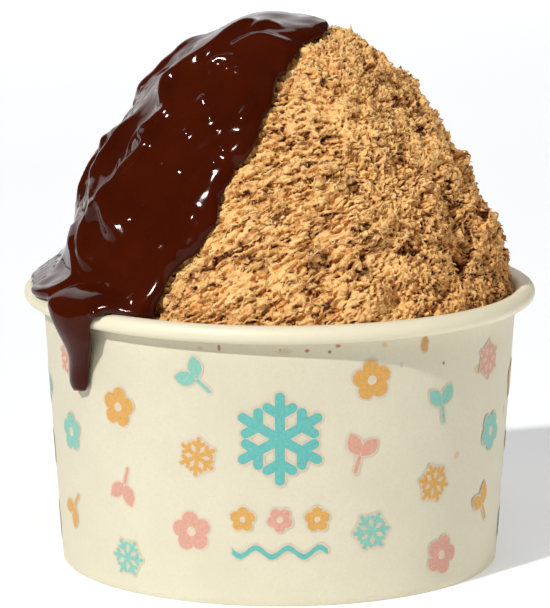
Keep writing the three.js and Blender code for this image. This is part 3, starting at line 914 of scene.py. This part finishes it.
def reliefNodes(sauceRun):  # fluffy lumps, long grooves, pits, strands and grain on the bare ice
    tree, entry = newRecipe("iceRelief")
    metres = addNode(tree, "GeometryNodeInputPosition").outputs[0]
    out = addNode(tree, "GeometryNodeInputNormal").outputs[0]
    place = scaled(tree, metres, 1 / mm)
    along, comb, height, soaked = grainNodes(tree, place)
    values = {"Vector": place, "Scale": 1 / ice["warpApart"], "Detail": 0.0}
    warp = addNode(tree, "ShaderNodeTexNoise", values).outputs["Color"]
    warp = scaled(tree, vectorCalc(tree, "SUBTRACT", warp, (0.5, 0.5, 0.5)), 2 * ice["warp"])
    place = vectorCalc(tree, "SUBTRACT", place, ice["combMiddle"])
    warped = vectorCalc(tree, "ADD", place, warp)
    down = vectorCalc(tree, "DOT_PRODUCT", place, along)

    def drawn(long, least=0.0):  # places drawn together along the strokes
        share = calc(tree, "MULTIPLY", calc(tree, "MULTIPLY_ADD", comb, 1 - least, least), -long)
        return vectorCalc(tree, "ADD", warped, scaled(tree, along, calc(tree, "MULTIPLY", down, share)))

    def wander(vector, apart, detail=1.0):  # noise from -0.5 to 0.5
        return calc(tree, "SUBTRACT", noiseAt(tree, vector, 1 / apart, detail), 0.5)

    def crease(vector, apart, wide):  # 1 on thin winding lines
        offLine = calc(tree, "ABSOLUTE", wander(vector, apart))
        return stepped(tree, offLine, wide, wide * ice["creaseFull"])

    def crest(vector, apart):  # flat tops with thin winding lines between them
        steep, start, flatTop = ice["crest"]
        offLine = calc(tree, "ABSOLUTE", wander(vector, apart))
        return calc(tree, "MINIMUM", calc(tree, "MULTIPLY_ADD", offLine, steep, start), flatTop)

    groove = crease(drawn(ice["grooveLong"], ice["grooveLeast"]), ice["grooveApart"], ice["grooveWide"])
    patch = stepped(tree, noiseAt(tree, place, 1 / ice["groovePatch"]), *ice["patchShare"])
    groove = calc(tree, "MULTIPLY", groove, patch)
    cleft = crease(warped, ice["cleftApart"], ice["cleftWide"])
    cleft = calc(tree, "MULTIPLY", cleft, calc(tree, "SUBTRACT", 1.0, comb))
    values = {"Vector": drawn(ice["pitLong"]), "Scale": 1 / ice["pitApart"]}
    cells = addNode(tree, "ShaderNodeTexVoronoi", values)
    chance = addNode(tree, "ShaderNodeSeparateXYZ", {0: cells.outputs["Color"]}).outputs[0]
    narrowed = calc(tree, "MULTIPLY_ADD", chance, ice["pitUneven"], cells.outputs["Distance"])
    relief = {
        "lump": wander(place, ice["lumpApart"], 2.0), "groove": groove, "cleft": cleft,
        "pit": stepped(tree, narrowed, *ice["pitWide"]),
        "strand": crest(drawn(ice["strandLong"]), ice["strandApart"]),
        "fine": crest(warped, ice["fineApart"]),
    }
    lift = -ice["sink"]
    for kind, rise in ice["lift"].items():
        lift = calc(tree, "MULTIPLY_ADD", relief[kind], rise, lift)
    below, above, drawnIn = ice["rimFade"]
    aboveRim = stepped(tree, height, ice["rim"] - below, ice["rim"] + above)
    lift = calc(tree, "MULTIPLY_ADD", lift, aboveRim, calc(tree, "MULTIPLY_ADD", aboveRim, drawnIn, -drawnIn))
    moved = addNode(tree, "GeometryNodeSetPosition", {
        "Geometry": entry, "Offset": scaled(tree, out, calc(tree, "MULTIPLY", lift, mm))}).outputs[0]

    # deep is painted shade: darker in pits, grooves, clefts and low lumps, lighter on raised tops, plus the
    # painted shade of the shaded side and the lower heap
    deep = calc(tree, "ADD", calc(tree, "MULTIPLY_ADD", relief["pit"], *ice["shade"]), soaked)
    for kind, share in ice["shades"].items():
        deep = calc(tree, "MULTIPLY_ADD", relief[kind], share, deep)
    poured = addNode(tree, "GeometryNodeObjectInfo", {"Object": sauceRun}).outputs["Geometry"]
    inward, long = ice["cover"]
    source = vectorCalc(tree, "ADD", metres, scaled(tree, out, -inward * mm))
    under = addNode(tree, "GeometryNodeRaycast", {
        "Target Geometry": poured, "Source Position": source, "Ray Direction": out,
        "Ray Length": long * mm}).outputs["Is Hit"]
    hollow = calc(tree, "MAXIMUM", calc(tree, "MAXIMUM", relief["pit"], groove), cleft)
    clear = calc(tree, "SUBTRACT", 1.0, calc(tree, "MAXIMUM", hollow, under))
    bare = calc(tree, "MULTIPLY", clear, calc(tree, "GREATER_THAN", height, ice["rim"]))
    for name, value in (("deep", deep), ("bare", bare), ("comb", comb), ("soaked", soaked)):
        moved = kept(tree, moved, name, value)
    moved = kept(tree, moved, "grain", along, "FLOAT_VECTOR")
    addNode(tree, "NodeGroupOutput", {0: moved})
    return tree


def iceWedge(bare, name, start, end):  # the part between two bearings, closed where it is cut
    wedge = addObject(name, bare.data.copy())
    axis = Vector((heap["shift"], 0, 0)) * mm
    cuts = [hiddenPlane(0), ((0, 0, ice["cut"] * mm), (0, 0, 1))]
    for bearing, side in ((start, 1), (end, -1)):
        turn = math.radians(bearing)
        cuts.append((axis, (-math.sin(turn) * side, math.cos(turn) * side, 0)))
    for cut in cuts:
        cutAway(wedge, *cut)
    smoothShade(wedge, ice["wedgeSmooth"])
    return wedge


# Loose ice, in millimetres: how many kinds are made, their sizes, how many lie on a square millimetre and how
# far they sink in. They turn by up to swing where the ice is combed, and tip up by up to tip, in radians.
threads = {
    "kinds": 8, "seed": 21, "long": (1.5, 3.5), "thick": 0.5, "joints": 5,
    "lean": 0.4, "curl": 0.5, "bend": 0.5, "mostLean": 0.9, "aside": 0.6,
    "arch": (0.04, 0.12), "archUneven": (0.7, 1.2), "ends": 0.6, "swell": (0.85, 1.25),
    "perArea": 0.045, "sink": 0.15, "swing": 0.5, "tip": 0.05,
}
curls = {
    "kinds": 12, "seed": 31, "round": (0.35, 0.8), "thick": 0.6, "thickShare": (0.42, 0.58),
    "arc": (80, 210), "steps": 4, "lean": 0.9, "crumple": (1.3, 0.35), "long": 1.25,
    "perArea": 0.08, "sink": 0.25, "swing": 1.3, "tip": 0.4,
}
crumbs = {
    "kinds": 6, "seed": 41, "wide": (0.4, 0.9), "uneven": (0.75, 1.3), "shape": (1.25, 0.95, 0.8),
    "perArea": 0.16, "sink": 0.1, "swing": 3.1, "tip": 1.5,
}
copySizes = (0.75, 1.25)  # the smallest and largest copy of a shape
looseShade = -2.2  # painted shade: how much darker the loose ice is on the heap's shaded side and low down


def makeThread(look, rng):  # a thin three-sided thread along X, arched and bent
    long, joints, bend, ends = rng.uniform(*look["long"]), look["joints"], look["bend"], look["ends"]
    deselect()
    bpy.ops.mesh.primitive_circle_add(vertices=3, radius=look["thick"] * ends / 2 * mm, fill_type="NGON",
                                      location=(-long / 2 * mm, 0, 0), rotation=(0, math.pi / 2, 0))
    thread = bpy.context.object
    settle(thread)
    editWhole(thread)
    lean, curl = rng.uniform(-look["lean"], look["lean"]), rng.uniform(-look["curl"], look["curl"])
    arch = rng.uniform(*look["arch"]) * long
    wide, side, high = ends, 0.0, 0.0
    for joint in range(1, joints + 1):
        share = joint / joints
        lean = min(max(lean + curl + rng.uniform(-bend, bend), -look["mostLean"]), look["mostLean"])
        nextHigh = arch * (1 - (2 * share - 1) ** 2) * rng.uniform(*look["archUneven"])
        step = (long / joints, long / joints * math.tan(lean) * look["aside"], nextHigh - high)
        nextWide = ends if joint == joints else rng.uniform(*look["swell"])
        bpy.ops.mesh.extrude_region_move(TRANSFORM_OT_translate={"value": [part * mm for part in step]})
        grow = nextWide / wide
        wide, high = nextWide, nextHigh
        side += step[1]
        middle = ((-long / 2 + long * share) * mm, side * mm, high * mm)
        bpy.ops.transform.resize(value=(1, grow, grow), center_override=middle)
    closeEnds()
    return thread


def makeCurl(look, rng):  # a small three-sided hook, spun about an upright or leaning axis
    reach = rng.uniform(*look["round"])
    deselect()
    half = look["thick"] * rng.uniform(*look["thickShare"]) * mm
    bpy.ops.mesh.primitive_circle_add(vertices=3, radius=half, fill_type="NGON",
                                      location=(reach * mm, 0, 0), rotation=(math.pi / 2, 0, 0))
    curl = bpy.context.object
    settle(curl)
    editWhole(curl)
    axis = Vector((0, rng.uniform(-look["lean"], look["lean"]), 1)).normalized()
    arc = math.radians(rng.uniform(*look["arc"]))
    bpy.ops.mesh.spin(steps=look["steps"], angle=arc, center=(0, 0, 0), axis=axis)
    closeEnds()
    apart, crumple = look["crumple"]
    for vertex in curl.data.vertices:
        vertex.co += noise.noise_vector(vertex.co / (apart * mm) + Vector((reach * 9, 0, 0))) * crumple * mm
        vertex.co.y *= look["long"]
    return curl


def closeEnds():  # caps what is open, turns the faces outward and leaves edit mode
    bpy.ops.mesh.select_all(action="DESELECT")
    bpy.ops.mesh.select_mode(type="EDGE")
    bpy.ops.mesh.select_non_manifold()
    if bpy.context.object.data.total_edge_sel:
        bpy.ops.mesh.fill()
    endEdit()


def makeCrumb(look, rng):  # a small uneven grain
    deselect()
    bpy.ops.mesh.primitive_ico_sphere_add(subdivisions=1, radius=rng.uniform(*look["wide"]) / 2 * mm)
    crumb = bpy.context.object
    for vertex in crumb.data.vertices:
        vertex.co *= rng.uniform(*look["uneven"])
    crumb.scale = look["shape"]
    settle(crumb)
    return crumb


def chanceOf(tree, low, high, seed, kind="FLOAT"):  # a seeded number of its own for every point
    node = addNode(tree, "FunctionNodeRandomValue", {"Min": low, "Max": high, "Seed": seed}, data_type=kind)
    return node.outputs[2 if kind == "INT" else 1]


def scatter(name, ground, shapes, look):  # many copies of a few shapes, laid on the bare ice
    store = bpy.data.collections.new(name + "Shapes")
    for shape in shapes:
        for home in list(shape.users_collection):
            home.objects.unlink(shape)
        store.objects.link(shape)
        for polygon in shape.data.polygons:
            polygon.use_smooth = True
    piece, seed = addObject(name, ground.data.copy()), look["seed"]
    tree, entry = newRecipe(name)
    density = calc(tree, "MULTIPLY", asKept(tree, "bare"), look["perArea"] / mm ** 2)
    points = addNode(tree, "GeometryNodeDistributePointsOnFaces",
                     {"Mesh": entry, "Density": density, "Seed": seed})
    grain = asKept(tree, "grain", "FLOAT_VECTOR")
    facing = addNode(tree, "FunctionNodeAlignRotationToVector",
                     {"Rotation": points.outputs["Rotation"], "Vector": grain},
                     axis="X", pivot_axis="Z").outputs[0]
    swing = ranged(tree, asKept(tree, "comb"), 0, 1, math.pi, look["swing"])
    spin = calc(tree, "MULTIPLY", chanceOf(tree, -1.0, 1.0, seed + 1), swing)
    tip = chanceOf(tree, -look["tip"], look["tip"], seed + 2)
    angles = addNode(tree, "ShaderNodeCombineXYZ", {"Y": tip, "Z": spin}).outputs[0]
    turn = addNode(tree, "FunctionNodeEulerToRotation", {0: angles}).outputs[0]
    facing = addNode(tree, "FunctionNodeRotateRotation", {"Rotation": facing, "Rotate By": turn},
                     rotation_space="LOCAL").outputs[0]
    down = scaled(tree, points.outputs["Normal"], -look["sink"] * mm)
    sunk = addNode(tree, "GeometryNodeSetPosition", {"Geometry": points.outputs["Points"], "Offset": down})
    kinds = addNode(tree, "GeometryNodeCollectionInfo",
                    {"Collection": store, "Separate Children": True, "Reset Children": True})
    placed = addNode(tree, "GeometryNodeInstanceOnPoints", {
        "Points": sunk.outputs[0], "Instance": kinds.outputs[0], "Pick Instance": True,
        "Instance Index": chanceOf(tree, 0, len(shapes) - 1, seed + 4, "INT"),
        "Rotation": facing, "Scale": chanceOf(tree, *copySizes, seed + 3)}).outputs[0]
    # the loose ice takes the heap's painted shade, on top of a random tone of its own
    tone = calc(tree, "MULTIPLY_ADD", asKept(tree, "soaked"), looseShade, chanceOf(tree, 0.0, 1.0, seed + 5))
    toned = kept(tree, placed, "tone", tone, domain="INSTANCE")
    real = addNode(tree, "GeometryNodeRealizeInstances", {"Geometry": toned}).outputs[0]
    addNode(tree, "NodeGroupOutput", {0: real})
    useModifier(piece, "NODES", node_group=tree)
    for shape in list(store.objects):
        bpy.data.objects.remove(shape)
    bpy.data.collections.remove(store)
    return piece


iceLook = {
    "cloud": (600, 5), "cloudShare": 0.35, "tones": (0.2, 0.5, 0.8),
    "frost": (1800, 3), "bump": (0.5, 0.15), "rough": 0.55, "gloss": 0.15,
    "glow": 0.25, "glowReach": (1, 0.55, 0.3), "glowDeep": 1.2,  # light that goes in and comes out again
    # loose colours follow a random tone darkened by painted shade; core colours follow painted shade, light
    # on raised tops and dark reddish brown in the hollows
    "loose": ((196, 136, 76), (236, 182, 116), (248, 208, 146)),
    "core": ((250, 210, 142), (230, 174, 106), (84, 32, 14)),
}


def iceMaterial(name, source, colours):  # source: the kept attribute that the colours follow
    material, tree, shader = newMaterial(name)
    place = objectPlace(tree)
    tone = addNode(tree, "ShaderNodeAttribute", attribute_name=source).outputs["Fac"]
    cloud = noiseAt(tree, place, *iceLook["cloud"])
    mixed = addNode(tree, "ShaderNodeMix", {0: iceLook["cloudShare"], 2: tone, 3: cloud}, data_type="FLOAT")
    stops = [(share, screenColour(*colour)) for share, colour in zip(iceLook["tones"], colours)]
    frost = noiseAt(tree, place, *iceLook["frost"])
    setSockets(tree, shader, {
        "Base Color": colourRamp(tree, mixed.outputs[0], stops), "Roughness": iceLook["rough"],
        "Specular IOR Level": iceLook["gloss"], "Subsurface Weight": iceLook["glow"],
        "Subsurface Radius": iceLook["glowReach"], "Subsurface Scale": iceLook["glowDeep"] * mm,
        "Normal": bumped(tree, frost, *iceLook["bump"])})
    return material


def makeIce(sauceRun):
    iceBare = makeBareIce(sauceRun)
    print("ice core ready", len(iceBare.data.polygons))
    looseLook = iceMaterial("icePale", "tone", iceLook["loose"])
    coreLook = iceMaterial("iceDeep", "deep", iceLook["core"])
    rng = random.Random(ice["seed"])
    for name, makeShape, look in (("threads", makeThread, threads), ("curls", makeCurl, curls),
                                  ("crumbs", makeCrumb, crumbs)):
        shapes = [makeShape(look, rng) for kind in range(look["kinds"])]
        keepPiece(scatter(name, iceBare, shapes, look), "ice_" + name, looseLook, "shaved_ice")
    keepPiece(makeIceBed(), "ice_bed", coreLook, "shaved_ice", "shaved_ice")
    for name, start, end in ice["wedges"]:
        keepPiece(iceWedge(iceBare, name, start, end), name, coreLook, "shaved_ice", "shaved_ice")
    bpy.data.objects.remove(iceBare)


def makeTub():
    board = paperMaterial()
    keepPiece(makeTubWall(), "tub_wall", board, "tub_paper", "bowl_wall")
    keepPiece(makeTubBase(), "tub_base", board, "tub_paper", "bowl_base")
    keepPiece(makeTubSeam(), "tub_seam", board, "tub_paper")
    for name in ("tub_wall", "tub_base", "tub_seam"):
        smoothShade(bpy.data.objects[name], tub["creases"])


makeCamera()
makeLights()
makeAir()
makeFloor()
print("studio ready")

makeTub()
makePrint()
print("tub ready")

measureHeap()
sauceRun = makeSauce()
keepPiece(sauceRun, "sauce_run", sauceMaterial(), "chocolate_sauce", "chocolate_sauce")
print("sauce ready")

makeIce(sauceRun)
print("ice ready")
